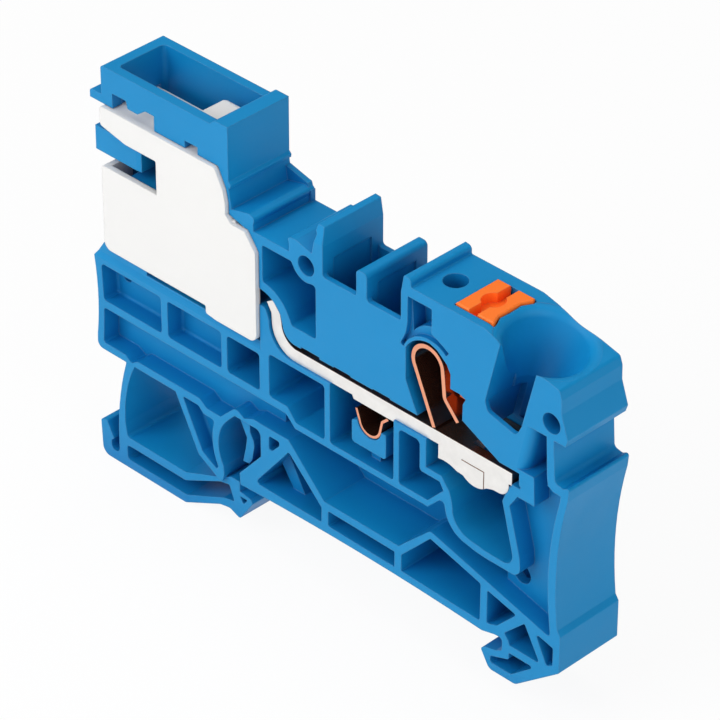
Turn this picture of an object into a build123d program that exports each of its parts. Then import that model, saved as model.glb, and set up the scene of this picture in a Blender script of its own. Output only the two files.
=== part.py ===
from build123d import *
import math
import os

os.makedirs("parts", exist_ok=True)

# X = 0 is midway between the foot's two grips, Z = 0 the level it rests at and Y = 0 mid-thickness.
# The open, ribbed side faces -Y, and depths are counted inward from it.
block_thickness = 8.0
open_side = -block_thickness / 2
cut_over = 0.1
whole_length = 40.0

# Depths behind the ribbed side
shallow_depth = 2.0
deep_depth = 5.6
chamber_depth = 6.4
chamber_near = 1.2
recess_depth = 3.4
latch_web_depth = 1.7
latch_rib_inset = 0.8
latch_setback = 0.5
brace_depth = 2.0
web_thickness = 1.0
end_rib_thickness = 0.6
shallow_from_left = -12.6
shallow_from_right = 16.9
root_radius = 0.3

# Levels from the foot up to the current bar
channel_top = 12.15
channel_roof = 11.0
rib_thickness = 0.9
floor_wall = 0.7
wall_level = channel_roof + floor_wall
spring_room = 6.9
bar_thickness = 1.4
bar_low = wall_level + spring_room
bar_high = bar_low + bar_thickness
roof_gap = 0.7
bar_roof = bar_high + roof_gap
bar_ledge = 0.6
ledge_rise = 0.55
ledge_slope = 0.2
ledge_level = bar_low - 0.7
pocket_row_low = channel_top + rib_thickness
pocket_row_high = ledge_level - bar_ledge
bar_rib_level = bar_low - bar_ledge
base_pocket_level = 1.7

# Levels of the head and the tower
head_height = 14.4
slot_depth = 4.2
fin_height = 2.95
tower_height = 6.0
window_height = 4.2
tower_wall = 1.05
window_clearance = 0.05
window_drop = 1.0
head_level = bar_high + head_height
slot_floor = head_level - slot_depth
fin_level = slot_floor + fin_height
tower_level = head_level + tower_height
tower_underside = tower_level - window_height

# Disconnect slide
plate_thickness = 0.6
plate_proud = 0.4
plate_back = plate_thickness - plate_proud
slide_gap = 0.1
slide_travel = 9.0
slide_depth = chamber_depth - 0.4
slide_wall = 0.85
slide_end_depth = 2.85
plate_right = -14.05
plate_length = 21.35
plate_left = plate_right - plate_length
plate_top = tower_underside - slide_gap
plate_foot = bar_low + 1.2
plate_keel = bar_low + 0.15
keel_length = 7.0
keel_left = plate_right - keel_length
mouth_depth = 7.8
mouth_floor = plate_left + mouth_depth
knob_width = 2.9
knob_right = plate_right - 7.25
knob_left = knob_right - knob_width
knob_top = tower_level - 1.32
knob_depth = slide_depth + 0.05
knob_gap = 0.25
knob_rounding = 0.8
holder_width = 1.5
roof_web_left = keel_left - 0.05
roof_holder_left = plate_left + 1.4

# Beak and floor block of the busbar mouth
beak_height = 2.7
beak_length = 6.4
beak_taper = 0.64
beak_bevel = 0.1
beak_depth = 0.3
mouth_gap_low = 0.9
mouth_gap_high = 0.2
beak_low = head_level - 4.1
beak_high = beak_low + beak_height
beak_left = plate_left - 1.5
beak_right = beak_left + beak_length
mouth_low = beak_low - mouth_gap_low
mouth_high = beak_high + mouth_gap_high
block_right = keel_left - slide_travel - slide_gap
block_top = mouth_low - 0.2
block_depth = 3.0
block_wall = 0.9
block_left = plate_left + 3.3
block_foot = plate_foot + slide_wall + slide_gap

# Slide contact
contact_gauge = 0.8
contact_height = 2.4
contact_far = slide_depth - 0.6
contact_near = contact_far - contact_height
contact_gap = 0.05
arm_gap = 0.1
arm_flare = 0.5
arm_tip = plate_left + 0.8
arm_near = contact_near + 1.2
arm_root_length = 2.0
contact_back = plate_right - 5.75
holder_left = contact_back + 1.2
holder_high = head_level - 3.4
floor_right = holder_left - slide_travel - slide_gap
tail_right = plate_right - 0.35
tongue_left = plate_right - 9.95
tongue_right = -12.4
tongue_gauge = 0.8
tongue_low = bar_low + 4.8

# Current bar
bar_near = 0.25
bar_far = chamber_depth - 0.15
bar_right = 18.75
skirt_gauge = 1.0
skirt_overlap = 0.2
window_left = 12.9
window_length = 4.45
skirt_end_width = 0.6
pad_drop = 0.4
seam_line = 0.12

# Push button
button_left = 10.72
button_near = 0.95
button_far = chamber_depth + 0.1
button_proud = 0.22
button_top = head_level + button_proud
button_height = 3.7
button_gap = 0.1
button_travel = 2.5
button_edge = 0.12
stem_width = 2.35
stem_left = button_left + 0.03
stem_right = stem_left + stem_width
stem_foot = bar_high + 3.9
stem_inset = 0.7
driver_slot_left = button_left + 1.63
driver_slot_width = 1.1
driver_slot_depth = 1.1
dimple_radius = 1.2
dimple_centre = (button_left + 2.18, 3.65)

# Conductor entry: its axis leans towards the block's middle going down
entry_lean = 13.5
entry_depth = 3.64
entry_centre_x = 19.55
entry_centre_z = head_level - 1.14
mouth_radius = 4.2
rim_rounding = 1.1
throat_radius = 2.25
funnel_length = 6.5
throat_length = 5.2
well_foot = bar_roof + 1.2
well_near = 0.5
well_far = 5.0
recess_low = bar_low + 2.55
recess_high = head_level - 7.95
recess_lean = 1.25

# Round holes: places in X and Z, or in X and depth for the test hole
test_hole_radius = 1.22
test_hole_place = (8.06, 3.74)
peg_hole_radius = 1.07
peg_hole_depth = 4.0
peg_hole_places = [(-7.6, head_level - 3.98), (23.6, head_level - 6.25)]
web_hole_radius = 1.07
web_hole_place = (18.75, 7.65)
corner_hole_radius = 0.7
corner_hole_place = (-34.9, pocket_row_low + 2.6)

# Springs
clamp_gauge = 0.45
clamp_near = 0.3
clamp_far = chamber_depth - 0.5
cradle_centre = 0.4
jumper_gauge = 0.28
jumper_near = 0.4
jumper_far = deep_depth - 0.2

# Fins and the jumper slots between them
slot_spans = [(-5.42, -1.0), (0.36, 4.75)]
shaft_wall = 0.6
shaft_widening = 0.2
widening_inset = 1.5
fin_chamfer_span = (-6.8, -5.3)


# Edges through the given points: a third value rounds a corner, "via" bends an arc through a point
def edges_through(points, place, closed=True):
    marks = []
    for i, point in enumerate(points):
        rounding = point[2] if len(point) > 2 else 0
        here = place(point[0], point[1])
        if rounding == "via" or rounding == 0:
            marks.append((rounding == "via", [here]))
            continue
        before = place(*points[i - 1][:2])
        after = place(*points[(i + 1) % len(points)][:2])
        to_before = before - here
        to_after = after - here
        half = math.radians(to_before.get_angle(to_after)) / 2
        reach = min(rounding / math.tan(half), 0.48 * to_before.length, 0.48 * to_after.length)
        start = here + to_before.normalized() * reach
        end = here + to_after.normalized() * reach
        inward = (to_before.normalized() + to_after.normalized()).normalized()
        middle = here + inward * (reach / math.cos(half) - reach * math.tan(half))
        marks.append((False, [start, middle, end]))
    edges = []
    last = len(marks) if closed else len(marks) - 1
    for i, (is_via, stretch) in enumerate(marks):
        if is_via:
            continue
        if len(stretch) == 3:
            edges.append(Edge.make_three_point_arc(*stretch))
        if i >= last:
            continue
        next_via, next_stretch = marks[(i + 1) % len(marks)]
        if next_via:
            landing = marks[(i + 2) % len(marks)][1][0]
            edges.append(Edge.make_three_point_arc(stretch[-1], next_stretch[0], landing))
        elif (next_stretch[0] - stretch[-1]).length > 1e-6:
            edges.append(Edge.make_line(stretch[-1], next_stretch[0]))
    return edges


# The same points, counted from another place
def placed(points, x, z):
    return [(point[0] + x, point[1] + z, *point[2:]) for point in points]


# Solid between two depths, from an outline in X and Z
def slab(points, near, far):
    face = Face(Wire(edges_through(points, lambda x, z: Vector(x, open_side + near, z))))
    return Solid.extrude(face, Vector(0, far - near, 0))


# Solid between two levels, from an outline in X and depth
def column(points, low, high, lean=0):
    face = Face(Wire(edges_through(points, lambda x, d: Vector(x, open_side + d, low))))
    return Solid.extrude(face, Vector(lean, 0, high - low))


# Solid between two X places, from an outline in depth and Z
def bar_along(points, left, right):
    face = Face(Wire(edges_through(points, lambda d, z: Vector(left, open_side + d, z))))
    return Solid.extrude(face, Vector(right - left, 0, 0))


def box(left, right, near, far, low, high):
    return slab([(left, low), (right, low), (right, high), (left, high)], near, far)


# Bent strip of even gauge that follows a path in X and Z
def strip(points, gauge, near, far):
    path = Wire(edges_through(points, lambda x, z: Vector(x, open_side + (near + far) / 2, z), closed=False))
    start = Plane(origin=path @ 0, x_dir=(0, 1, 0), z_dir=path % 0)
    profile = start * Rectangle(far - near, gauge)
    return sweep(profile, path=path)


# Pocket with a rounded root where its sides meet the floor
def rooted_pocket(points, far):
    pocket = slab(points, -cut_over, far)
    floor = pocket.faces().sort_by(Axis.Y)[-1]
    return pocket.fillet(root_radius, floor.edges())


# Outline of the body: left column, then the tower, head and fins, then the right column and the foot
left_column_outline = [
    (-33.4, 7.0), (-37.5, 7.0, 1.2), (-37.42, 8.6), (-37.12, 13.2, "via"), (-37.5, ledge_level),
    (-36.1, bar_high), (-36.1, beak_low), (beak_left, beak_low), (beak_left, beak_high),
    (-36.1, beak_high), (-36.1, tower_underside), (-37.15, tower_underside),
    (-37.15, tower_underside + 0.95, 0.3), (-35.5, tower_underside + 0.95), (-35.5, tower_level, 0.35),
    (-20.4, tower_level), (-19.7, tower_level + 0.6, 0.4), (-17.95, tower_level + 0.6),
]
saddle_outline = placed([
    (-17.95, 0.65), (-17.66, 0.35, 0.1), (-17.7, 0.0), (-17.95, -0.1), (-17.9, -0.5), (-17.6, -2.25),
    (-15.3, -1.7, 0.4), (-14.45, -2.0, 0.4), (-14.7, -2.7), (-14.65, -3.4), (-9.9, -3.4), (-9.85, -2.7),
    (-10.05, -1.75, 0.4), (-9.0, -1.7), (-6.85, -2.25), (-6.4, 0.0), (-6.62, 0.3), (-6.5, 0.95, 0.1),
    (-5.72, 0.9, 0.1), (-5.42, -0.9),
], 0, head_level)
fins_outline = [
    (-5.42, slot_floor, 0.4), (-1.0, slot_floor, 0.3), (-1.0, fin_level, 0.4), (0.36, fin_level, 0.5),
    (0.36, slot_floor, 0.4), (4.75, slot_floor, 0.3),
]
head_outline = placed([
    (4.75, -1.0), (5.1, 0.95, 0.15), (6.0, 0.85, 0.5), (6.0, 0.0, 0.15), (15.0, 0.0, 2.0),
    (24.45, -2.3, 0.4), (24.75, -3.2), (24.78, -4.75), (25.6, -7.2, 0.25), (25.35, -7.98), (23.95, -7.98),
    (24.0, -9.4),
], 0, head_level)
right_column_outline = placed([
    (24.2, 3.3, 0.5), (25.2, 3.1, 0.4), (26.0, 3.55, 0.4), (25.85, 2.0),
], 0, bar_low)
foot_outline = [
    (24.72, 10.5, "via"), (25.05, 5.5), (25.45, 4.9, 0.15), (25.45, 0.7, 0.3), (20.0, -3.65, 0.9),
    (16.6, -3.65, 0.8), (15.5, -1.8, 0.3), (15.9, -1.4), (17.4, -1.05), (18.2, -0.6, 0.3), (18.2, 0.85, 0.4),
    (17.2, 0.75), (15.6, 0.35), (-2.0, 0.8, "via"), (-17.05, 0.35), (-17.15, base_pocket_level),
    (-14.1, 5.25), (-14.1, 8.25, 0.7), (-17.75, 8.25, 0.5), (-18.9, 7.0), (-20.1, 4.2, "via"),
    (-19.45, 1.3), (-19.4, 0.2), (-19.75, -0.8, 0.25), (-23.0, 1.0, 0.3), (-26.15, 7.0), (-31.9, 7.0),
]
body_outline = (left_column_outline + saddle_outline + fins_outline + head_outline
                + right_column_outline + foot_outline)

# Flexing latch with its release hook on the left and the gripping nose on the right
latch_outline = [
    (-33.35, 7.4), (-33.35, 6.8), (-34.5, 1.6, "via"), (-34.8, -3.0), (-34.8, -4.3),
    (-35.4, -4.92, "via"), (-36.0, -4.3), (-35.95, -3.8), (-35.6, -3.5), (-36.55, -1.75, 0.2),
    (-37.45, -1.75, 0.45), (-37.25, -6.0, 1.0), (-25.1, -6.0, 0.6), (-20.45, -4.0, 0.8),
    (-19.2, -3.85, 0.8), (-17.75, -4.45, 0.4), (-15.9, -1.75, 0.2), (-16.2, -1.3), (-17.7, -1.12),
    (-17.7, 0.05), (-18.95, 0.05), (-20.7, -0.75), (-25.0, -2.25, 0.6), (-33.5, -2.25, 0.4),
    (-33.78, -0.6), (-33.4, 3.4, "via"), (-31.9, 7.4),
]
latch_slot = [
    (-33.6, -3.25, 0.4), (-25.0, -3.25, 0.6), (-20.4, -1.2), (-19.2, -1.0, 0.2),
    (-18.5, -2.75, 0.2), (-20.0, -3.0, 0.4), (-24.9, -5.0, 0.6), (-33.6, -5.0, 0.4),
]
nose_hole = [(-17.7, -1.65, 0.1), (-16.6, -1.65, 0.1), (-17.25, -2.5, 0.2)]
nose_setback = [(-25.0, -cut_over), (-25.0, 0), (-19.0, latch_setback), (-15.0, latch_setback),
                (-15.0, -cut_over)]
nose_setback_span = (-7.0, 1.2)
latch_rib = [
    (-17.75, 8.5), (-17.7, 7.3), (-16.85, 5.7), (-17.05, 4.4), (-17.45, 2.6), (-16.6, 2.7),
    (-16.15, 3.4), (-15.85, 5.1), (-15.95, 5.75), (-16.4, 6.5), (-16.5, 8.5),
]

# Shallow pockets in the left column
pocket_outer = [(-36.5, pocket_row_high, 0.5), (-27.9, pocket_row_high, 0.4), (-27.9, pocket_row_low, 0.4),
                (-36.3, pocket_row_low, 0.4)]
pocket_inner = [(-27.0, pocket_row_high, 0.4), (-19.4, pocket_row_high, 0.4),
                (-19.4, pocket_row_low, 0.4), (-27.0, pocket_row_low, 0.4)]
bracket_pocket = [
    (-25.15, 6.95, 0.2), (-22.9, 6.95, 0.3), (-22.1, 6.28, 0.3), (-20.6, 6.28, 0.35),
    (-20.9, 5.0), (-20.92, 3.3, "via"), (-20.2, 0.9), (-20.45, 0.5, 0.15), (-22.45, 1.6, 0.5),
]

# Pocket beside the first fin
fin_pocket = placed([
    (-13.5, -4.35, 0.3), (-9.6, -4.35, 0.2), (-9.15, -5.05), (-8.5, -5.6, "via"), (-7.5, -5.83),
    (-6.35, -5.6, 0.4),
], 0, head_level) + placed([
    (-6.35, 4.15, 0.35), (-9.6, 4.15, 0.3), (-10.2, 5.3), (-11.5, 6.65, "via"), (-13.5, 7.35, 0.3),
], 0, bar_low)

# Deep pockets between the ribs
deep_pockets = [
    [(-18.6, pocket_row_high, 0.4), (-14.1, pocket_row_high, 0.4), (-14.1, pocket_row_low, 0.4),
     (-18.6, pocket_row_low, 0.4)],
    [(-12.8, bar_rib_level, 0.45), (-5.25, bar_rib_level, 0.4), (-5.25, wall_level, 0.4),
     (-9.15, wall_level, 0.2), (-10.35, pocket_row_low, 0.4), (-12.8, pocket_row_low, 0.4)],
    [(4.6, bar_rib_level, 0.5), (7.3, bar_rib_level, 0.5), (7.3, bar_low - 3.95, 0.4),
     (9.9, bar_low - 3.95), (10.4, bar_low - 4.75), (8.35, wall_level, 0.2), (4.6, wall_level, 0.3)],
    [(-15.0, base_pocket_level, 0.35), (-5.75, base_pocket_level, 0.25), (-5.75, 3.5, 0.2),
     (-10.2, 7.75, 0.2)],
    [(-12.95, 8.3, 0.3), (-11.45, 8.3, 0.4), (-11.55, 7.75, 0.2), (-12.5, 6.7, 0.3),
     (-12.95, 6.7, 0.2)],
    [(-4.85, 3.5, 0.25), (4.1, 3.42, 0.1), (4.1, 1.6, 0.1), (-4.85, base_pocket_level, 0.25)],
    [(5.0, 3.5, 0.1), (8.8, 7.45, 0.25), (15.35, 5.7, 0.3), (15.3, 1.3, 0.3), (5.0, 1.6, 0.1)],
    [(16.2, 5.4, 0.2), (19.95, 4.5, 0.2), (17.5, 1.95, 0.5), (16.2, 1.5, 0.15)],
    [(21.0, 4.1, 0.15), (23.0, 0.5, 0.25), (19.15, 0.5, 0.1), (18.95, 1.0, 0.2), (18.45, 1.6, 0.2)],
    [(22.35, 3.75, 0.25), (24.6, 3.2, 0.2), (24.6, 1.2, 0.2), (23.85, 0.7, 0.2)],
    [(19.1, -0.4, 0.15), (22.3, -0.4, 0.2), (19.4, -2.8, 0.4), (16.7, -2.8, 0.35),
     (16.75, -2.05, 0.3), (19.1, -1.2, 0.3)],
    fin_pocket,
]
brace_rib = [(-13.4, 4.2), (-12.2, 5.5), (-9.9, 1.5), (-11.5, 1.5)]

# Long pocket that follows the whole lower wall and rises into the right column
channel_riser = placed([
    (18.75, -2.1), (19.7, -bar_ledge), (21.8, -bar_ledge), (21.65, 2.55), (23.45, 2.55, 0.7), (24.0, 2.2),
    (24.95, 2.15), (24.9, 1.6),
], 0, bar_low)
channel_outline = [
    (-36.3, channel_top, 0.35), (-10.5, channel_top, 0.3), (-9.3, channel_roof, 0.2),
    (8.4, channel_roof, 0.2), (9.95, 12.55, 0.2), (10.5, 12.55, 0.3), (10.75, 11.4),
    (11.6, 10.1, "via"), (13.3, 9.3), (14.6, 9.05), (16.0, 8.97), (20.3, 8.97, 1.5), (20.15, 11.2),
    *channel_riser, (23.72, 11.0, "via"),
    (24.05, 5.6), (24.2, 4.2, 0.35), (8.75, 8.3, 0.5), (4.6, 4.35), (-5.4, 4.35), (-10.2, 9.15, 0.2),
    (-15.2, 9.15, 0.6), (-16.4, 8.6, 0.25), (-17.6, 9.25, 0.7), (-19.75, 7.15, 0.4), (-21.7, 7.15, 0.3),
    (-22.7, 7.85, 0.6), (-31.6, 7.85, 0.4), (-32.55, 7.25, 0.35), (-33.5, 7.85, 0.5), (-36.55, 7.85, 0.3),
]

# Space swept by the front plate, and the open space behind it
open_left = plate_left - 3.6
plate_sweep = [
    (open_left, plate_foot - slide_gap), (block_right, plate_foot - slide_gap),
    (block_right, plate_keel - slide_gap), (plate_right + slide_gap, plate_keel - slide_gap, 0.3),
    *placed([(slide_gap, -5.4, 0.5), (-1.3, -3.52, 0.2), (-3.25, -3.48), (-3.9, -2.85), (-3.9, -1.7),
             (-4.2, -0.3, 0.8)], plate_right, head_level),
    (plate_right - 5.25, tower_underside), (open_left, tower_underside),
]
slide_cavity = [
    (open_left, block_top), (block_right, block_top), (block_right, plate_keel - slide_gap),
    (plate_right, plate_keel - slide_gap, 0.3),
    *placed([(0, -5.4, 0.5), (-1.45, -3.6, 0.2), (-4.05, -2.9), (-4.05, -1.7), (-4.35, -0.3, 0.8)],
            plate_right, head_level),
    (plate_right - 5.4, tower_underside), (open_left, tower_underside),
]
window_plan = [
    (-34.05, tower_wall, 0.5), (-19.95, tower_wall, 0.5),
    (-19.95, block_thickness - tower_wall + window_clearance, 0.5),
    (-34.05, block_thickness - tower_wall + window_clearance, 0.5),
]
tower_notches = [
    placed([(-33.95, -0.2), (-33.95, 1.65), (-32.0, 1.65), (-31.8, 0.85), (-30.4, 0.85), (-29.3, 1.65),
            (-28.1, 1.65), (-28.1, -0.2)], 0, tower_underside),
    placed([(-23.85, -0.2), (-23.85, 0.8), (-22.1, 0.8), (-22.1, -0.2)], 0, tower_underside),
]
gusset = placed([(-17.95, -0.7), (-14.9, -1.45), (-14.75, -1.95), (-15.3, -2.2), (-17.7, -2.4)], 0, head_level)
groove_end = placed([(-14.8, -3.5), (-14.45, -3.5), (-14.45, -2.1), (-14.8, -2.1)], 0, head_level)

# Groove of the current bar, joined to the slide cavity on the left
bar_groove = [
    *placed([(-14.3, 6.45), (-13.3, 6.27), (-11.75, 5.45, "via"), (-11.1, 4.6), (-10.85, 3.6),
             (-10.2, 2.45, "via")], 0, bar_low),
    (-9.2, bar_roof), (bar_right + 1.1, bar_roof),
    *placed([(1.1, 0.8), (1.37, 0.6, 0.1), (1.15, 0.4), (0.2, 0.4), (0.2, 0)], bar_right, bar_low),
    *placed([(-9.5, 0), (-11.8, 0.85, "via"), (-12.72, 3.25), (-13.2, 4.45, 0.4), (-14.3, 4.55)],
            0, bar_low),
]
roof_steps = [(-8.4, -5.9, 0.22), (-4.0, -1.8, 0.12), (1.1, 3.4, 0.12)]
roof_step_depth = 1.5
spring_opening = [
    (7.0, bar_roof - cut_over),
    *placed([(-5.32, 4.0), (-5.32, 7.6), (-3.97, 9.0, "via"), (-2.22, 9.45), (-1.32, 9.15), (-0.12, 8.2),
             (0.38, 7.35), (0.38, 5.75), (1.48, 5.75), (2.33, 5.5), (1.98, 4.8), (1.93, 3.0)],
            button_left, bar_high),
    (17.6, bar_roof - cut_over),
]
clamp_chamber = [
    (button_left - 0.22, bar_roof - cut_over),
    *placed([(-0.22, 8.3), (2.53, 8.3)], button_left, bar_high),
    (button_left + 2.53, well_foot), (bar_right + 0.2, well_foot), (bar_right + 0.2, bar_roof - cut_over),
]
wire_pocket = [
    (8.1, bar_low + cut_over), (8.1, bar_low - 3.2), (10.1, bar_low - 3.2, 0.2), (11.1, bar_low - 4.4),
    (11.5, 12.9, "via"), (11.6, 11.9), (12.35, 10.65, "via"), (14.0, 9.95), (16.0, 9.72), (19.6, 9.72, 1.2),
    (17.85, bar_low - 2.0), (18.15, bar_low - 1.2), (18.65, bar_low - 0.3), (18.65, bar_low + cut_over),
]

# Cradle of the jumper contact spring
spring_pocket = [(-4.55, bar_low + cut_over), (-4.55, wall_level, 0.35), (3.9, wall_level, 0.35),
                 (3.9, bar_low + cut_over)]
cradle = placed([
    (-2.3, -5.4, 0.4), (2.2, -5.4, 0.4), (2.2, -2.6, 0.2), (1.58, -2.6), (0, -4.0, "via"), (-1.58, -2.6),
    (-2.3, -2.9, 0.2),
], cradle_centre, bar_low)
cradle_stem = [(-0.25, wall_level - bar_ledge / 2), (0.95, wall_level - bar_ledge / 2),
               (0.95, bar_low - 5.0), (-0.25, bar_low - 5.0)]
cradle_near = 0.3
cradle_stem_near = 1.3

# Relief over the clamp spring
relief_depth = 0.6
relief_window_depth = 2.2
relief_top = head_level - 1.1 - bar_high
crescent = placed([
    (-6.02, 7.75, 0.15), (-5.37, 9.1), (-5.12, 10.4), (-5.12, relief_top), (-2.07, relief_top),
    (-2.07, 10.6), (-1.02, 10.15, "via"), (0.13, 9.5), (-0.22, 9.05), (-3.12, 9.75, "via"), (-5.62, 7.55),
], button_left, bar_high)
crescent_window = placed([
    (-5.12, relief_top), (-2.07, relief_top), (-2.07, 10.95), (-3.52, 10.55, "via"), (-4.87, 9.4),
], button_left, bar_high)

# Conductor entry: slot open to the ribbed side, the well below it, and the recess beside the funnel
entry_slot = placed([
    (-1.8, 1.6), (-4.13, -7.9, 0.7), (-3.75, -8.9, 0.5), (-0.2, -9.75, 0.7), (0.45, -8.4, 0.8), (2.95, 1.6),
], entry_centre_x, head_level)
entry_well = [
    *placed([(0.3, -8.4), (-4.13, -7.9)], entry_centre_x, head_level),
    (entry_centre_x - 5.28, well_foot - cut_over), (entry_centre_x - 0.95, well_foot - cut_over),
    *placed([(-0.35, -9.9)], entry_centre_x, head_level),
]
recess_plan = [
    (19.2, -cut_over), (19.2, 0), (20.15, 0.35, "via"), (20.45, 1.2), (20.45, recess_depth),
    (25.0, recess_depth), (25.0, -cut_over),
]
recess_limit = [
    (19.0, recess_low - cut_over), (23.4, recess_low - cut_over), (23.25, recess_low + 0.85),
    (23.05, recess_high + cut_over), (19.0, recess_high + cut_over),
]

# Push button seen from above
button_plan = [
    (button_left, button_near),
    *placed([(4.65, button_near), (4.65, 1.1), (4.18, 2.2), (4.18, button_far - 1.4),
             (4.63, button_far - 0.3), (4.58, button_far)], button_left, 0),
    (button_left, button_far),
]
shaft_plan = [
    (button_left - button_gap, button_near - button_gap),
    *placed([(4.78, button_near - button_gap), (4.78, 1.15), (4.3, 2.25), (4.3, button_far - 1.45),
             (4.76, button_far - 0.3), (4.73, button_far + button_gap)], button_left, 0),
    (button_left - button_gap, button_far + button_gap),
]

# Front plate of the slide
plate_outline = [
    (plate_left, plate_foot, 0.9), (keel_left, plate_foot, 0.15), (keel_left, plate_keel + 0.2, 0.25),
    (keel_left + 1.45, plate_keel), (plate_right, plate_keel, 0.95),
    *placed([(0, -5.45, 0.5), (-1.4, -3.63, 0.2), (-3.3, -3.58), (-4.0, -2.9), (-4.0, -1.7),
             (-4.3, -0.35, 0.8)], plate_right, head_level),
    (plate_right - 5.4, plate_top, 0.6), (plate_left, plate_top, 0.35),
    (plate_left, head_level - 0.45, 0.4), (plate_left + 3.5, mouth_high, 1.5), (mouth_floor, mouth_high, 0.15),
    (mouth_floor, mouth_low), (plate_left, mouth_low, 0.3),
]

# Angled ends behind the plate, below and above the busbar mouth
lower_end = [
    (plate_left, plate_foot, 0.6), (plate_left + 4.4, plate_foot), (plate_left + 4.4, plate_foot + slide_wall),
    (plate_left + slide_wall, plate_foot + slide_wall), (plate_left + slide_wall, mouth_low),
    (plate_left, mouth_low, 0.3),
]
upper_end = [
    (plate_left, head_level - 0.2), (plate_left + slide_wall, head_level - 0.2),
    (plate_left + slide_wall, plate_top - slide_wall), (plate_left + 3.4, plate_top - slide_wall),
    (plate_left + 3.4, plate_top), (plate_left, plate_top, 0.35),
]

# Current bar and its skirt
bar_outline = [
    (bar_right, bar_high), (-9.45, bar_high), (-10.7, bar_high + 0.7, "via"),
    *placed([(-11.25, 3.55), (-11.45, 4.5, 0.8), (-12.4, 5.6), (-13.2, 5.1), (-12.6, 4.1, 0.5),
             (-12.55, 3.2), (-11.65, 0.95, "via")], 0, bar_low),
    (-9.6, bar_low), (bar_right, bar_low),
]
bar_pad = placed([(-2.2, cut_over), (-2.2, 0), (-2.0, -pad_drop), (3.2, -pad_drop), (3.45, 0),
                  (3.45, cut_over)], cradle_centre, bar_low)
skirt_outline = placed([
    (9.45, skirt_overlap), (9.45, -1.6), (10.5, -1.53, "via"), (11.8, -1.88), (12.65, -1.95),
    (14.1, -2.48, "via"), (15.6, -1.9), (16.4, -1.63), (17.3, -1.6), (18.1, -1.1, "via"),
    (18.35, 0), (18.35, skirt_overlap),
], 0, bar_low)
seam_boxes = [(12.4, 15.3, -0.32, -0.32 + seam_line), (15.18, 15.18 + seam_line, -2.6, -skirt_overlap)]

# Paths of the two springs
clamp_path = placed([
    (-1.92, 0.12), (-4.4, 5.8), (-2.7, 8.62, "via"), (-0.92, 7.0), (-0.62, 4.0, 0.9), (1.08, 2.15),
], button_left, bar_high)
jumper_path = placed([
    (-1.8, -1.4), (-1.35, -2.65), (0, -3.76, "via"), (1.32, -2.65), (1.6, -1.4, 0.3), (2.35, -0.7),
], cradle_centre, bar_low)


# Round hole from the ribbed side
def peg_hole(x, z, near, depth, radius):
    hole = Cylinder(radius, depth + cut_over)
    centre = (x, open_side + near + (depth - cut_over) / 2, z)
    return hole.rotate(Axis.X, 90).moved(Location(centre))


# Funnel turned about the leaning entry axis: rounded rim, cone and throat
def entry_funnel():
    taper = math.atan2(mouth_radius - throat_radius, funnel_length)
    half = (math.pi / 2 + taper) / 2
    outward = Vector(1, 0, 0)
    downward = Vector(-math.sin(taper), 0, -math.cos(taper))
    lip = outward * mouth_radius
    start = lip + outward * (rim_rounding / math.tan(half))
    end = lip + downward * (rim_rounding / math.tan(half))
    bow = rim_rounding / math.sin(half) - rim_rounding
    middle = lip + (outward + downward).normalized() * bow
    throat = Vector(throat_radius, 0, -funnel_length)
    foot = Vector(throat_radius, 0, -funnel_length - throat_length)
    above = Vector(0, 0, 1.0)
    profile = [
        Edge.make_line(above, start + above), Edge.make_line(start + above, start),
        Edge.make_three_point_arc(start, middle, end), Edge.make_line(end, throat),
        Edge.make_line(throat, foot), Edge.make_line(foot, Vector(0, 0, foot.Z)),
        Edge.make_line(Vector(0, 0, foot.Z), above),
    ]
    turned = revolve(Face(Wire(profile)), Axis.Z).rotate(Axis.Y, entry_lean)
    return turned.moved(Location((entry_centre_x, open_side + entry_depth, entry_centre_z)))


# Foot latch, whose right part stands back from the ribbed side
def make_latch():
    latch = slab(latch_outline, 0, block_thickness - cut_over)
    return latch - [slab(latch_slot, -cut_over, block_thickness), slab(nose_hole, -cut_over, deep_depth),
                    column(nose_setback, *nose_setback_span)]


# Stretch of the foot and the columns between two X places
def stretch_between(left, right):
    return box(left, right, -cut_over, block_thickness, 0, bar_roof + 1.3)


# Pockets from the ribbed side and the matching recesses from the closed side
def housing_pockets():
    left_part = stretch_between(-whole_length, shallow_from_left)
    middle = stretch_between(shallow_from_left, shallow_from_right)
    right_part = stretch_between(shallow_from_right, whole_length)
    back = block_thickness + cut_over
    pockets = [rooted_pocket(pocket_outer, shallow_depth), rooted_pocket(pocket_inner, shallow_depth)]
    pockets.append(rooted_pocket(bracket_pocket, latch_web_depth))
    pockets.append(slab(channel_outline, -cut_over, shallow_depth))
    pockets.append(slab(channel_outline, -cut_over, deep_depth) & middle)
    for points in deep_pockets:
        pockets.append(slab(points, -cut_over, deep_depth))
        pockets.append(slab(points, deep_depth + web_thickness, back))
    for points in [pocket_outer, pocket_inner, bracket_pocket]:
        pockets.append(slab(points, shallow_depth + web_thickness, back))
    rear_channel = slab(channel_outline, shallow_depth + web_thickness, back)
    pockets.append(rear_channel & left_part)
    pockets.append(rear_channel & right_part)
    pockets.append(slab(channel_outline, deep_depth + web_thickness, back) & middle)
    pockets.append(box(beak_left + 1.7, block_right - block_wall, block_depth + web_thickness, back,
                       plate_foot + 0.8, block_top - block_wall))
    return pockets


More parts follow.
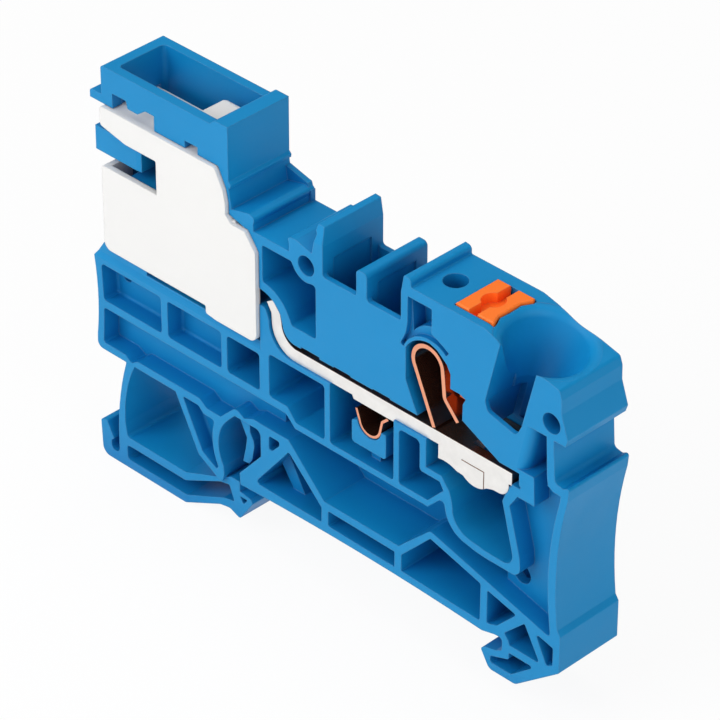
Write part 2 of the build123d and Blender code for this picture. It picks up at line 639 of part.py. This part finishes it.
# Space of the slide, with the beak left standing in the busbar mouth
def slide_space():
    beak = column([(beak_left, beak_depth), (beak_right - beak_taper, beak_depth),
                   (beak_right, beak_depth + beak_bevel), (beak_right, block_thickness),
                   (beak_left, block_thickness)], beak_low, beak_high)
    floor = box(block_right - cut_over, floor_right, beak_depth, block_depth - slide_gap, block_foot, block_top)
    space = slab(slide_cavity, -cut_over, chamber_depth) - beak - floor
    ledge = bar_along([(-cut_over, ledge_level - ledge_slope), (0, ledge_level),
                       (beak_depth, ledge_level + ledge_rise), (beak_depth, plate_foot),
                       (-cut_over, plate_foot)], open_left, plate_right + slide_gap)
    return [space, slab(plate_sweep, -cut_over, beak_depth), ledge,
            box(open_left, block_right, -cut_over, block_depth, plate_foot - slide_gap, block_foot),
            box(open_left, block_left, -cut_over, block_depth, block_foot - cut_over, block_top)]


# Shafts under the jumper slots, with a wider stretch low in each left wall
def jumper_shafts():
    shafts = []
    for left, right in slot_spans:
        shafts.append(box(left, right, shaft_wall, block_thickness - shaft_wall, bar_roof - cut_over,
                          slot_floor + 0.5))
        shafts.append(box(left - shaft_widening, left + cut_over, widening_inset,
                          block_thickness - widening_inset, bar_roof - cut_over, slot_floor + 1.5))
    return shafts


# Clamp space, funnel and button shaft
def conductor_space():
    shaft_low = button_top - button_height - button_travel - 2 * button_gap
    return [slab(spring_opening, -cut_over, chamber_depth), slab(clamp_chamber, chamber_near, chamber_depth),
            entry_funnel(), slab(entry_slot, -cut_over, entry_depth), slab(entry_well, well_near, well_far),
            column(shaft_plan, shaft_low, head_level + 1.0)]


# Recess beside the funnel's outer wall, rounded where it leaves the ribbed side
def funnel_recess():
    recess = column(recess_plan, recess_low, recess_high, lean=recess_lean)
    return recess & slab(recess_limit, -cut_over, block_thickness)


def make_housing():
    housing = slab(body_outline, 0, block_thickness) + make_latch()
    housing -= housing_pockets()
    housing += [slab(latch_rib, latch_rib_inset, block_thickness - latch_rib_inset),
                slab(brace_rib, brace_depth, deep_depth + cut_over)]
    end_rib_start = block_thickness - end_rib_thickness
    housing += [slab(gusset, end_rib_start, block_thickness), slab(groove_end, end_rib_start, block_thickness)]
    housing -= slide_space()
    housing -= column(window_plan, head_level - window_drop, tower_level + 1.6)
    housing -= [slab(points, -cut_over, tower_wall + cut_over) for points in tower_notches]
    housing -= [slab(bar_groove, -cut_over, chamber_depth), slab(wire_pocket, -cut_over, chamber_depth),
                slab(spring_pocket, -cut_over, deep_depth)]
    housing += [slab(cradle, cradle_near, deep_depth + cut_over),
                slab(cradle_stem, cradle_stem_near, deep_depth + cut_over)]
    housing -= [box(left, right, -cut_over, roof_step_depth, bar_roof - cut_over, bar_roof + rise)
                for left, right, rise in roof_steps]
    housing -= jumper_shafts()
    housing -= conductor_space()
    housing -= funnel_recess()
    housing -= [slab(crescent, -cut_over, relief_depth), slab(crescent_window, -cut_over, relief_window_depth)]
    housing -= [peg_hole(x, z, 0, peg_hole_depth, peg_hole_radius) for x, z in peg_hole_places]
    housing -= [peg_hole(*place, shallow_depth - cut_over, web_thickness + 2 * cut_over, radius)
                for place, radius in [(web_hole_place, web_hole_radius), (corner_hole_place, corner_hole_radius)]]
    housing -= bar_along([(-cut_over, head_level - 0.8), (0, head_level - 0.8), (0.6, head_level + 1.0),
                          (-cut_over, head_level + 1.0)], *fin_chamfer_span)
    test_hole = Cylinder(test_hole_radius, peg_hole_depth).moved(Location(
        (test_hole_place[0], open_side + test_hole_place[1], head_level - peg_hole_depth / 2 + cut_over)))
    return housing - test_hole


# White slide: front plate, side walls, knob and the holder of the contact
def make_slide():
    slide = slab(plate_outline, -plate_proud, plate_back)
    holder_low = beak_high + arm_gap + contact_gauge + contact_gap
    slide += [slab(lower_end, 0, slide_end_depth), slab(upper_end, 0, slide_end_depth)]
    slide += [box(roof_holder_left, contact_back, 0, slide_depth, plate_top - slide_wall, plate_top),
              box(roof_web_left, roof_web_left + holder_width, 0, slide_depth, holder_low, plate_top),
              box(holder_left, holder_left + holder_width, 0, contact_near - contact_gap, tongue_low + 1.0,
                  holder_high)]
    knob = slab([(knob_left, plate_top - cut_over), (knob_left, knob_top, 0.15), (knob_right, knob_top, 0.5),
                 (knob_right, plate_top - cut_over)], tower_wall + knob_gap, knob_depth)
    corner = knob.edges().filter_by(Axis.Z).group_by(Axis.X)[-1].sort_by(Axis.Y)[-1:]
    return slide + knob.fillet(knob_rounding, corner)


# Fork whose arms rest on the beak, with a tail that rides on the bar's tongue
def make_contact():
    low_face = beak_low - arm_gap
    high_face = beak_high + arm_gap
    tail_low = tongue_low + tongue_gauge + contact_gap
    inner_back = contact_back - contact_gauge
    points = [
        (arm_tip, high_face + arm_flare), (arm_tip + arm_flare, high_face), (inner_back, high_face, 0.3),
        (inner_back, low_face, 0.3), (arm_tip + arm_flare, low_face), (arm_tip, low_face - arm_flare),
        (arm_tip, low_face - contact_gauge), (inner_back, low_face - contact_gauge, 0.3),
        (inner_back, tail_low, 0.5), (tail_right, tail_low),
        (tail_right, tail_low + contact_gauge), (contact_back, tail_low + contact_gauge, 0.4),
        (contact_back, high_face + contact_gauge, 0.6), (arm_tip, high_face + contact_gauge),
    ]
    arm_space = box(arm_tip - cut_over, contact_back - arm_root_length, contact_near - cut_over, arm_near,
                    low_face - 2 * contact_gauge, high_face + 2 * contact_gauge)
    return slab(points, contact_near, contact_far) - arm_space


# Strip with an upturned left end, a wire window and the skirt below it
def make_bar():
    bar = slab(bar_outline, bar_near, bar_far)
    window_right = window_left + window_length
    bar += [slab(bar_pad, bar_near, jumper_far),
            slab(skirt_outline, bar_near, bar_near + skirt_gauge),
            slab(skirt_outline, bar_far - skirt_gauge, bar_far),
            box(window_right, window_right + skirt_end_width, bar_near, bar_far, bar_low - 1.0,
                bar_low + skirt_overlap),
            box(tongue_left, tongue_right, contact_near, contact_far, tongue_low, tongue_low + tongue_gauge)]
    bar -= box(window_left, window_right, bar_near + skirt_gauge, bar_far - skirt_gauge, bar_low - 2.6,
               bar_high + skirt_overlap)
    return bar - [box(left, right, bar_near - cut_over, bar_near + seam_line, bar_low + low, bar_low + high)
                  for left, right, low, high in seam_boxes]


# Button head with its screwdriver slot and dimple, on a narrower stem
def make_button():
    head = column(button_plan, button_top - button_height, button_top)
    stem = column([(stem_left, button_near + stem_inset), (stem_right, button_near + stem_inset),
                   (stem_right, button_far - stem_inset), (stem_left, button_far - stem_inset)],
                  stem_foot, button_top - button_height + cut_over)
    slot_floor_level = button_top - driver_slot_depth
    slot = box(driver_slot_left, driver_slot_left + driver_slot_width, 0, block_thickness,
               slot_floor_level, button_top + 1.0)
    dimple_height = driver_slot_depth + 1.0
    dimple = Cylinder(dimple_radius, dimple_height).moved(Location(
        (dimple_centre[0], open_side + dimple_centre[1], slot_floor_level + dimple_height / 2)))
    top_edges = head.faces().sort_by(Axis.Z)[-1].edges()
    return head.chamfer(button_edge, None, top_edges) + stem - [slot, dimple]


pieces = {
    "housing": make_housing(),
    "disconnect_slide": make_slide(),
    "slide_contact": make_contact(),
    "current_bar": make_bar(),
    "clamp_spring": strip(clamp_path, clamp_gauge, clamp_near, clamp_far),
    "jumper_spring": strip(jumper_path, jumper_gauge, jumper_near, jumper_far),
    "push_button": make_button(),
}

for name, piece in pieces.items():
    solids = piece.solids()
    print(name, len(solids), "solids", round(sum(s.volume for s in solids), 2), "mm3")
    export_step(piece, "parts/" + name + ".step")
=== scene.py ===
# Neutral disconnect terminal block: finishes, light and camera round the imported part.
# Metres throughout, in the part's own frame: +Z up, +X towards the conductor entry.
import math

import bpy
from mathutils import Matrix, Vector


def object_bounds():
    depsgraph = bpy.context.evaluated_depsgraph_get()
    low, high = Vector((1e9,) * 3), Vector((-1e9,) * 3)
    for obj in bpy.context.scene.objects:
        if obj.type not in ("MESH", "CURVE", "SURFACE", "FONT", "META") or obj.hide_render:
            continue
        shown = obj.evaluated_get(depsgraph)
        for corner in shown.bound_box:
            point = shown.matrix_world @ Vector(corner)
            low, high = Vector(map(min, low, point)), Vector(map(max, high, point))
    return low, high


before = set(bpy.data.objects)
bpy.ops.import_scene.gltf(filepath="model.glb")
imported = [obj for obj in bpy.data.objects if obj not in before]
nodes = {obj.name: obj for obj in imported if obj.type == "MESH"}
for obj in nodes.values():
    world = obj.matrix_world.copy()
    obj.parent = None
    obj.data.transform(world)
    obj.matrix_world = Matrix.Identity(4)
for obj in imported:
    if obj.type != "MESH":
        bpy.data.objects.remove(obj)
cadLow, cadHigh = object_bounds()
print("block loaded:", ", ".join(sorted(nodes)))


def toLinear(red, green, blue):
    # a colour as seen on screen, 0 to 255, turned into the linear values that sockets take
    found = []
    for part in (red, green, blue):
        part = part / 255
        found.append(part / 12.92 if part <= 0.04045 else ((part + 0.055) / 1.055) ** 2.4)
    return (*found, 1.0)


def newGroup(name, inputs, outputs):
    # an empty node group with its sockets; inputs are (name, kind, value)
    group = bpy.data.node_groups.new(name, "ShaderNodeTree")
    for label, kind, value in inputs:
        socket = group.interface.new_socket(name=label, in_out="INPUT", socket_type=kind)
        socket.default_value = value
    for label, kind in outputs:
        group.interface.new_socket(name=label, in_out="OUTPUT", socket_type=kind)
    start = group.nodes.new("NodeGroupInput")
    end = group.nodes.new("NodeGroupOutput")
    return group, start, end


def feed(tree, socket, value):
    # a number or colour is set on the socket, and another node's output is linked to it
    if isinstance(value, (int, float, tuple)):
        socket.default_value = value
    else:
        tree.links.new(value, socket)


def addNoise(tree, place, scale, detail, rough=0.5):
    noise = tree.nodes.new("ShaderNodeTexNoise")
    labels = ("Vector", "Scale", "Detail", "Roughness")
    for label, value in zip(labels, (place, scale, detail, rough)):
        feed(tree, noise.inputs[label], value)
    return noise.outputs["Fac"]


def addMath(tree, kind, first, second=None):
    node = tree.nodes.new("ShaderNodeMath")
    node.operation = kind
    feed(tree, node.inputs[0], first)
    if second is not None:
        feed(tree, node.inputs[1], second)
    return node.outputs[0]


def addRange(tree, value, low, high, toLow, toHigh):
    node = tree.nodes.new("ShaderNodeMapRange")
    labels = ("Value", "From Min", "From Max", "To Min", "To Max")
    for label, number in zip(labels, (value, low, high, toLow, toHigh)):
        feed(tree, node.inputs[label], number)
    return node.outputs["Result"]


def addMix(tree, factor, first, second):
    node = tree.nodes.new("ShaderNodeMix")
    node.data_type = "RGBA"
    for label, value in (("Factor", factor), ("A", first), ("B", second)):
        feed(tree, [s for s in node.inputs if s.name == label and s.enabled][0], value)
    return [s for s in node.outputs if s.enabled][0]


# settings of the painted shade, an occlusion mask that darkens colours in pockets and narrow gaps
paintedShadeSettings = {
    "samples": 8,
    "shut": 0.15,  # share of open sky at which a place counts as fully shut in
    "open": 0.9,
}


def addPaintedShade(tree, reach, low):
    # painted shade: 1 on open faces, falling to low where the surface is shut in, as in pockets and
    # narrow gaps
    shade = tree.nodes.new("ShaderNodeAmbientOcclusion")
    shade.samples = paintedShadeSettings["samples"]
    shade.inputs["Distance"].default_value = reach
    return addRange(tree, shade.outputs["AO"], paintedShadeSettings["shut"], paintedShadeSettings["open"], low, 1.0)


relief = {
    "cornerSamples": 4,
    "grainDepth": 0.00002,
}


def addRoundedNormal(group, start):
    # the normal with its corners rounded by the group's own radius
    bevel = group.nodes.new("ShaderNodeBevel")
    bevel.samples = relief["cornerSamples"]
    group.links.new(start.outputs["Corner"], bevel.inputs["Radius"])
    return bevel.outputs["Normal"]


def addGrain(group, start, end, height, rounded):
    # fine relief on top of the rounded normal
    bump = group.nodes.new("ShaderNodeBump")
    bump.inputs["Distance"].default_value = relief["grainDepth"]
    group.links.new(start.outputs["Grain"], bump.inputs["Strength"])
    group.links.new(height, bump.inputs["Height"])
    group.links.new(rounded, bump.inputs["Normal"])
    group.links.new(bump.outputs["Normal"], end.inputs["Normal"])


def addSpread(group, texture, amount):
    # how far the roughness strays from its level, to both sides
    return addMath(group, "MULTIPLY", addMath(group, "SUBTRACT", texture, 0.5), amount)


def makeMaterial(name, group, look, labels):
    # a material fed by one shared group; labels pair the group's inputs with the look's values
    material = bpy.data.materials.new(name)
    material.use_nodes = True
    tree = material.node_tree
    shader = tree.nodes["Principled BSDF"]
    finish = tree.nodes.new("ShaderNodeGroup")
    finish.node_tree = group
    for label, key in labels.items():
        finish.inputs[label].default_value = look[key]
    for output in finish.outputs:
        target = "Base Color" if output.name == "Colour" else output.name
        tree.links.new(output, shader.inputs[target])
    return material, shader


mouldedTexture = {
    "ior": 1.5,
    "cloudScale": 90,
    "cloudDetail": 2,
    "cloudContrast": 4,
    "sparkScale": 7000,
    "sparkDetail": 3,
    "sparkRough": 0.6,
    "flowScale": 420,
    "flowDetail": 3,
    "flowSpread": 0.18,  # in the roughness
    "paintedHighlightFrom": 0.98,  # agreement of rounded and plain normal, from which a corner starts to get the painted highlight
    "paintedHighlightFull": 0.75,
    "paintedHighlightShare": 0.06,  # white mixed into the colour at corners, a painted highlight
    # reach of the painted shade in pockets and the funnel
    "pocketPaintedShadeReach": 0.006,
}


def makeMouldedGroup(look):
    # satin moulding: faint cloudy tone, fine spark texture and rounded corners, with painted shade
    # in pockets and a painted highlight on corners
    group, start, end = newGroup(
        "mouldedPlastic",
        [("Colour", "NodeSocketColor", (0.5, 0.5, 0.5, 1)),
         ("Painted Shade Colour", "NodeSocketColor", (0.3, 0.3, 0.3, 1)),
         ("Tone", "NodeSocketFloat", 0.06),
         ("Roughness", "NodeSocketFloat", 0.4),
         ("Grain", "NodeSocketFloat", 0.3),
         ("Corner", "NodeSocketFloat", 0.00012)],
        [("Colour", "NodeSocketColor"), ("Roughness", "NodeSocketFloat"),
         ("Normal", "NodeSocketVector")],
    )
    coordinate = group.nodes.new("ShaderNodeTexCoord").outputs["Object"]
    cloud = addNoise(group, coordinate, look["cloudScale"], look["cloudDetail"])
    spark = addNoise(group, coordinate, look["sparkScale"], look["sparkDetail"], look["sparkRough"])
    flow = addNoise(group, coordinate, look["flowScale"], look["flowDetail"])

    rounded = addRoundedNormal(group, start)
    turn = group.nodes.new("ShaderNodeVectorMath")
    turn.operation = "DOT_PRODUCT"
    group.links.new(rounded, turn.inputs[0])
    group.links.new(group.nodes.new("ShaderNodeNewGeometry").outputs["Normal"], turn.inputs[1])
    corner = addRange(group, turn.outputs["Value"], look["paintedHighlightFrom"], look["paintedHighlightFull"], 0.0, 1.0)

    shade = addMath(group, "SUBTRACT", cloud, 0.5)
    shade = addMath(group, "MULTIPLY", shade, start.outputs["Tone"])
    shade = addMath(group, "MULTIPLY", shade, look["cloudContrast"])
    shade = addMath(group, "ADD", shade, 1)
    toned = group.nodes.new("ShaderNodeHueSaturation")
    # painted shade: the colour turns towards the darker deep colour where the surface is shut in
    base = addMix(group, addPaintedShade(group, look["pocketPaintedShadeReach"], 0.0),
                  start.outputs["Painted Shade Colour"], start.outputs["Colour"])
    group.links.new(base, toned.inputs["Color"])
    group.links.new(shade, toned.inputs["Value"])
    # painted highlight: corners, concave and convex alike, are lightened towards white
    paintedHighlight = addMath(group, "MULTIPLY", corner, look["paintedHighlightShare"])
    lit = addMix(group, paintedHighlight, toned.outputs["Color"], (1.0, 1.0, 1.0, 1.0))
    group.links.new(lit, end.inputs["Colour"])

    spread = addSpread(group, flow, look["flowSpread"])
    rough = addMath(group, "ADD", start.outputs["Roughness"], spread)
    group.links.new(rough, end.inputs["Roughness"])
    addGrain(group, start, end, spark, rounded)
    return group


mouldedGroup = makeMouldedGroup(mouldedTexture)
mouldedLabels = {"Colour": "colour", "Painted Shade Colour": "paintedShadeColour", "Tone": "tone",
                 "Roughness": "roughness", "Grain": "grain", "Corner": "corner"}


def makeMoulded(name, look):
    # one moulded plastic from its dictionary of values
    material, shader = makeMaterial(name, mouldedGroup, look, mouldedLabels)
    shader.inputs["IOR"].default_value = mouldedTexture["ior"]
    shader.inputs["Specular IOR Level"].default_value = look["specular"]
    return material


housingLook = {
    "colour": toLinear(12, 132, 190),  # blue polyamide
    "paintedShadeColour": toLinear(8, 108, 174),  # painted shade: a darker blue mixed in where the pockets and the funnel are shut in
    "tone": 0.03,
    "roughness": 0.44,
    "specular": 0.2,
    "grain": 0.25,
    "corner": 0.00016,
}

slideLook = {
    "colour": toLinear(229, 228, 226),  # off-white polyamide
    # painted shade: a grey mixed in where the slide is shut in
    "paintedShadeColour": toLinear(216, 216, 216),
    "tone": 0.012,
    "roughness": 0.4,
    "specular": 0.45,
    "grain": 0.2,
    "corner": 0.0002,
}

buttonLook = {
    "colour": toLinear(254, 122, 40),  # orange polyamide
    # painted shade: a deeper orange mixed in where the button is shut in
    "paintedShadeColour": toLinear(255, 112, 36),
    "tone": 0.03,
    "roughness": 0.42,
    "specular": 0.25,
    "grain": 0.2,
    "corner": 0.0001,
}

print("moulded plastics ready")


stripTexture = {
    "cutFrom": 0.55,  # how squarely a face looks along Y, from which it starts to be cut metal
    "cutFull": 0.85,
    "lineStretch": (0.12, 1.0, 1.0),  # grain lines run along X
    "lineScale": 9000,
    "lineDetail": 3,
    "lineRough": 0.6,
    "lineSpread": 0.2,  # in the roughness
    "patchScale": 900,
    "patchDetail": 3,
    "patchFrom": 0.35,
    "patchFull": 0.7,
    "patchDark": 0.95,  # brightness in the dull patches and in the clear ones
    "patchClear": 1.03,
    # painted shade in narrow gaps: its reach and its darkest level
    "gapPaintedShadeReach": 0.003,
    "gapPaintedShadeLevel": 0.8,
}


def makeStripGroup(look):
    # metal strip: bright on the sides that face along Y, a dark mirror on its rolled faces
    group, start, end = newGroup(
        "metalStrip",
        [("Cut Colour", "NodeSocketColor", (0.8, 0.8, 0.8, 1)),
         ("Face Colour", "NodeSocketColor", (0.2, 0.2, 0.2, 1)),
         ("Cut Metallic", "NodeSocketFloat", 0.5),
         ("Face Metallic", "NodeSocketFloat", 0.9),
         ("Cut Roughness", "NodeSocketFloat", 0.35),
         ("Face Roughness", "NodeSocketFloat", 0.2),
         ("Grain", "NodeSocketFloat", 0.3),
         ("Corner", "NodeSocketFloat", 0.00005)],
        [("Colour", "NodeSocketColor"), ("Metallic", "NodeSocketFloat"),
         ("Roughness", "NodeSocketFloat"), ("Normal", "NodeSocketVector")],
    )
    texture = group.nodes.new("ShaderNodeTexCoord")
    split = group.nodes.new("ShaderNodeSeparateXYZ")
    group.links.new(texture.outputs["Normal"], split.inputs["Vector"])
    side = addMath(group, "ABSOLUTE", split.outputs["Y"])
    side = addRange(group, side, look["cutFrom"], look["cutFull"], 0.0, 1.0)

    stretch = group.nodes.new("ShaderNodeMapping")
    stretch.inputs["Scale"].default_value = look["lineStretch"]
    group.links.new(texture.outputs["Object"], stretch.inputs["Vector"])
    lines = addNoise(group, stretch.outputs["Vector"], look["lineScale"], look["lineDetail"],
                     look["lineRough"])
    patches = addNoise(group, texture.outputs["Object"], look["patchScale"], look["patchDetail"])

    mixed = addMix(group, side, start.outputs["Face Colour"], start.outputs["Cut Colour"])
    patchesAndPaintedShade = addRange(group, patches, look["patchFrom"], look["patchFull"],
                    look["patchDark"], look["patchClear"])
    # painted shade: the strip darkens where it is shut in, as in narrow gaps, on top of the real
    # patchy tone
    patchesAndPaintedShade = addMath(group, "MULTIPLY", patchesAndPaintedShade, addPaintedShade(group, look["gapPaintedShadeReach"], look["gapPaintedShadeLevel"]))
    toned = group.nodes.new("ShaderNodeHueSaturation")
    group.links.new(mixed, toned.inputs["Color"])
    group.links.new(patchesAndPaintedShade, toned.inputs["Value"])
    group.links.new(toned.outputs["Color"], end.inputs["Colour"])

    spread = addSpread(group, lines, look["lineSpread"])
    level = {}
    for quality in ("Roughness", "Metallic"):
        level[quality] = addRange(group, side, 0.0, 1.0, start.outputs["Face " + quality],
                                  start.outputs["Cut " + quality])
    group.links.new(addMath(group, "ADD", level["Roughness"], spread), end.inputs["Roughness"])
    group.links.new(level["Metallic"], end.inputs["Metallic"])
    addGrain(group, start, end, lines, addRoundedNormal(group, start))
    return group


stripGroup = makeStripGroup(stripTexture)
stripLabels = {"Cut Colour": "cutColour", "Face Colour": "faceColour",
               "Cut Metallic": "cutMetallic", "Face Metallic": "faceMetallic",
               "Cut Roughness": "cutRoughness", "Face Roughness": "faceRoughness",
               "Grain": "grain", "Corner": "corner"}


def makeStrip(name, look):
    # one metal from its dictionary of values
    return makeMaterial(name, stripGroup, look, stripLabels)[0]


barLook = {
    "cutColour": toLinear(230, 228, 225),  # tinned, fine grain
    "faceColour": toLinear(176, 134, 114),  # dark mirror that picks up the walls round it
    "cutMetallic": 0.35,
    "faceMetallic": 0.95,
    "cutRoughness": 0.38,
    "faceRoughness": 0.16,
    "grain": 0.5,
    "corner": 0.00006,
}

springLook = {
    "cutColour": toLinear(240, 164, 130),  # copper-coloured cut edge
    "faceColour": toLinear(168, 112, 90),
    "cutMetallic": 0.8,
    "faceMetallic": 0.95,
    "cutRoughness": 0.36,
    "faceRoughness": 0.16,
    "grain": 0.3,
    "corner": 0.00003,
}

contactLook = {
    "cutColour": toLinear(196, 178, 162),
    "faceColour": toLinear(96, 76, 66),
    "cutMetallic": 0.85,
    "faceMetallic": 0.9,
    "cutRoughness": 0.34,
    "faceRoughness": 0.24,
    "grain": 0.3,
    "corner": 0.00004,
}

print("metals ready")


finishes = {
    "housing": makeMoulded("bluePolyamide", housingLook),
    "disconnect_slide": makeMoulded("whitePolyamide", slideLook),
    "push_button": makeMoulded("orangePolyamide", buttonLook),
    "current_bar": makeStrip("tinnedCopper", barLook),
    "slide_contact": makeStrip("contactAlloy", contactLook),
    "clamp_spring": makeStrip("springStrip", springLook),
    "jumper_spring": makeStrip("jumperStrip", springLook),
}

for name, material in finishes.items():
    for slot in nodes[name].material_slots:
        slot.material = material
print("finishes placed on", len(finishes), "nodes")


floorLook = {
    "colour": toLinear(244, 244, 244),
    "roughness": 0.9,
    "specular": 0.1,
    "size": 1.6,
    "drop": 0.00002,  # gap under the block
    "background": (1, 1, 1, 1),
    "backgroundShare": 0.92,  # how much of the floor the camera sees as plain background
}


def makeFloor(look):
    place = (0, 0, cadLow.z - look["drop"])
    bpy.ops.mesh.primitive_plane_add(size=look["size"], location=place)
    floor = bpy.context.object
    floor.name = "floor"
    material = bpy.data.materials.new("paleFloor")
    material.use_nodes = True
    tree = material.node_tree
    shader = tree.nodes["Principled BSDF"]
    shader.inputs["Base Color"].default_value = look["colour"]
    shader.inputs["Roughness"].default_value = look["roughness"]
    shader.inputs["Specular IOR Level"].default_value = look["specular"]
    glow = tree.nodes.new("ShaderNodeEmission")
    glow.inputs["Color"].default_value = look["background"]
    path = tree.nodes.new("ShaderNodeLightPath")
    seen = addMath(tree, "MAXIMUM", path.outputs["Is Camera Ray"], path.outputs["Is Glossy Ray"])
    seen = addMath(tree, "MAXIMUM", seen, path.outputs["Is Transmission Ray"])
    share = addMath(tree, "MULTIPLY", seen, look["backgroundShare"])
    blend = tree.nodes.new("ShaderNodeMixShader")
    tree.links.new(share, blend.inputs["Fac"])
    tree.links.new(shader.outputs["BSDF"], blend.inputs[1])
    tree.links.new(glow.outputs["Emission"], blend.inputs[2])
    tree.links.new(blend.outputs["Shader"], tree.nodes["Material Output"].inputs["Surface"])
    floor.data.materials.append(material)


worldLook = {
    "colour": (0.98, 0.99, 1.0, 1),
    "horizon": 0.46,  # pale band all round, level with the block
    "zenith": 0.13,  # duller overhead, so that top faces keep their full colour
    "bandTop": 0.12,  # heights of the change, as the sine of the angle above the horizon
    "zenithFrom": 0.5,
}


def makeWorld(look):
    world = bpy.data.worlds.new("studio")
    bpy.context.scene.world = world
    world.use_nodes = True
    tree = world.node_tree
    tree.nodes.clear()
    split = tree.nodes.new("ShaderNodeSeparateXYZ")
    direction = tree.nodes.new("ShaderNodeTexCoord").outputs["Generated"]
    tree.links.new(direction, split.inputs["Vector"])
    level = addRange(tree, split.outputs["Z"], look["bandTop"], look["zenithFrom"],
                     look["horizon"], look["zenith"])
    ambient = tree.nodes.new("ShaderNodeBackground")
    ambient.inputs["Color"].default_value = look["colour"]
    tree.links.new(level, ambient.inputs["Strength"])
    output = tree.nodes.new("ShaderNodeOutputWorld")
    tree.links.new(ambient.outputs["Background"], output.inputs["Surface"])


# square softboxes: direction from the middle of the block, distance, size and watts
lamps = {
    "frontSoftbox": {"direction": (-0.35, -1.0, 0.75), "distance": 0.5, "size": 0.4, "watts": 1.77},
    "topSoftbox": {"direction": (-0.2, 0.1, 1.0), "distance": 0.5, "size": 0.4, "watts": 1.05},
    "rightFill": {"direction": (1.0, -0.35, 0.55), "distance": 0.6, "size": 0.5, "watts": 1.5},
}


def addLamp(name, look):
    # aimed at the middle of the block
    centre = (cadLow + cadHigh) / 2
    data = bpy.data.lights.new(name, "AREA")
    data.shape = "SQUARE"
    data.size = look["size"]
    data.energy = look["watts"]
    lamp = bpy.data.objects.new(name, data)
    bpy.context.scene.collection.objects.link(lamp)
    away = Vector(look["direction"]).normalized()
    lamp.location = centre + away * look["distance"]
    lamp.rotation_mode = "QUATERNION"
    lamp.rotation_quaternion = (-away).to_track_quat("-Z", "Y")


cameraLook = {
    "place": (0.236775, -0.241893, 0.255668),
    "azimuth": 44.92695,  # degrees round from the open side towards the conductor entry
    "elevation": 34.66897,
    "lens": 219.84,  # mm, as the sensor
    "sensor": 36,
    "clipStart": 0.01,
    "clipEnd": 10,
}


def makeCamera(look):
    turn = math.radians(look["azimuth"])
    rise = math.radians(look["elevation"])
    back = Vector((math.sin(turn) * math.cos(rise), -math.cos(turn) * math.cos(rise),
                   math.sin(rise)))
    right = Vector((math.cos(turn), math.sin(turn), 0))
    up = back.cross(right)
    data = bpy.data.cameras.new("camera")
    data.sensor_width = look["sensor"]
    data.lens = look["lens"]
    data.clip_start = look["clipStart"]
    data.clip_end = look["clipEnd"]
    camera = bpy.data.objects.new("camera", data)
    bpy.context.scene.collection.objects.link(camera)
    facing = Matrix((right, up, back)).transposed().to_4x4()
    facing.translation = Vector(look["place"])
    camera.matrix_world = facing
    bpy.context.scene.camera = camera


makeFloor(floorLook)
makeWorld(worldLook)
for name, look in lamps.items():
    addLamp(name, look)
makeCamera(cameraLook)
bpy.context.scene.view_settings.view_transform = "Standard"
print("floor, light and camera ready")
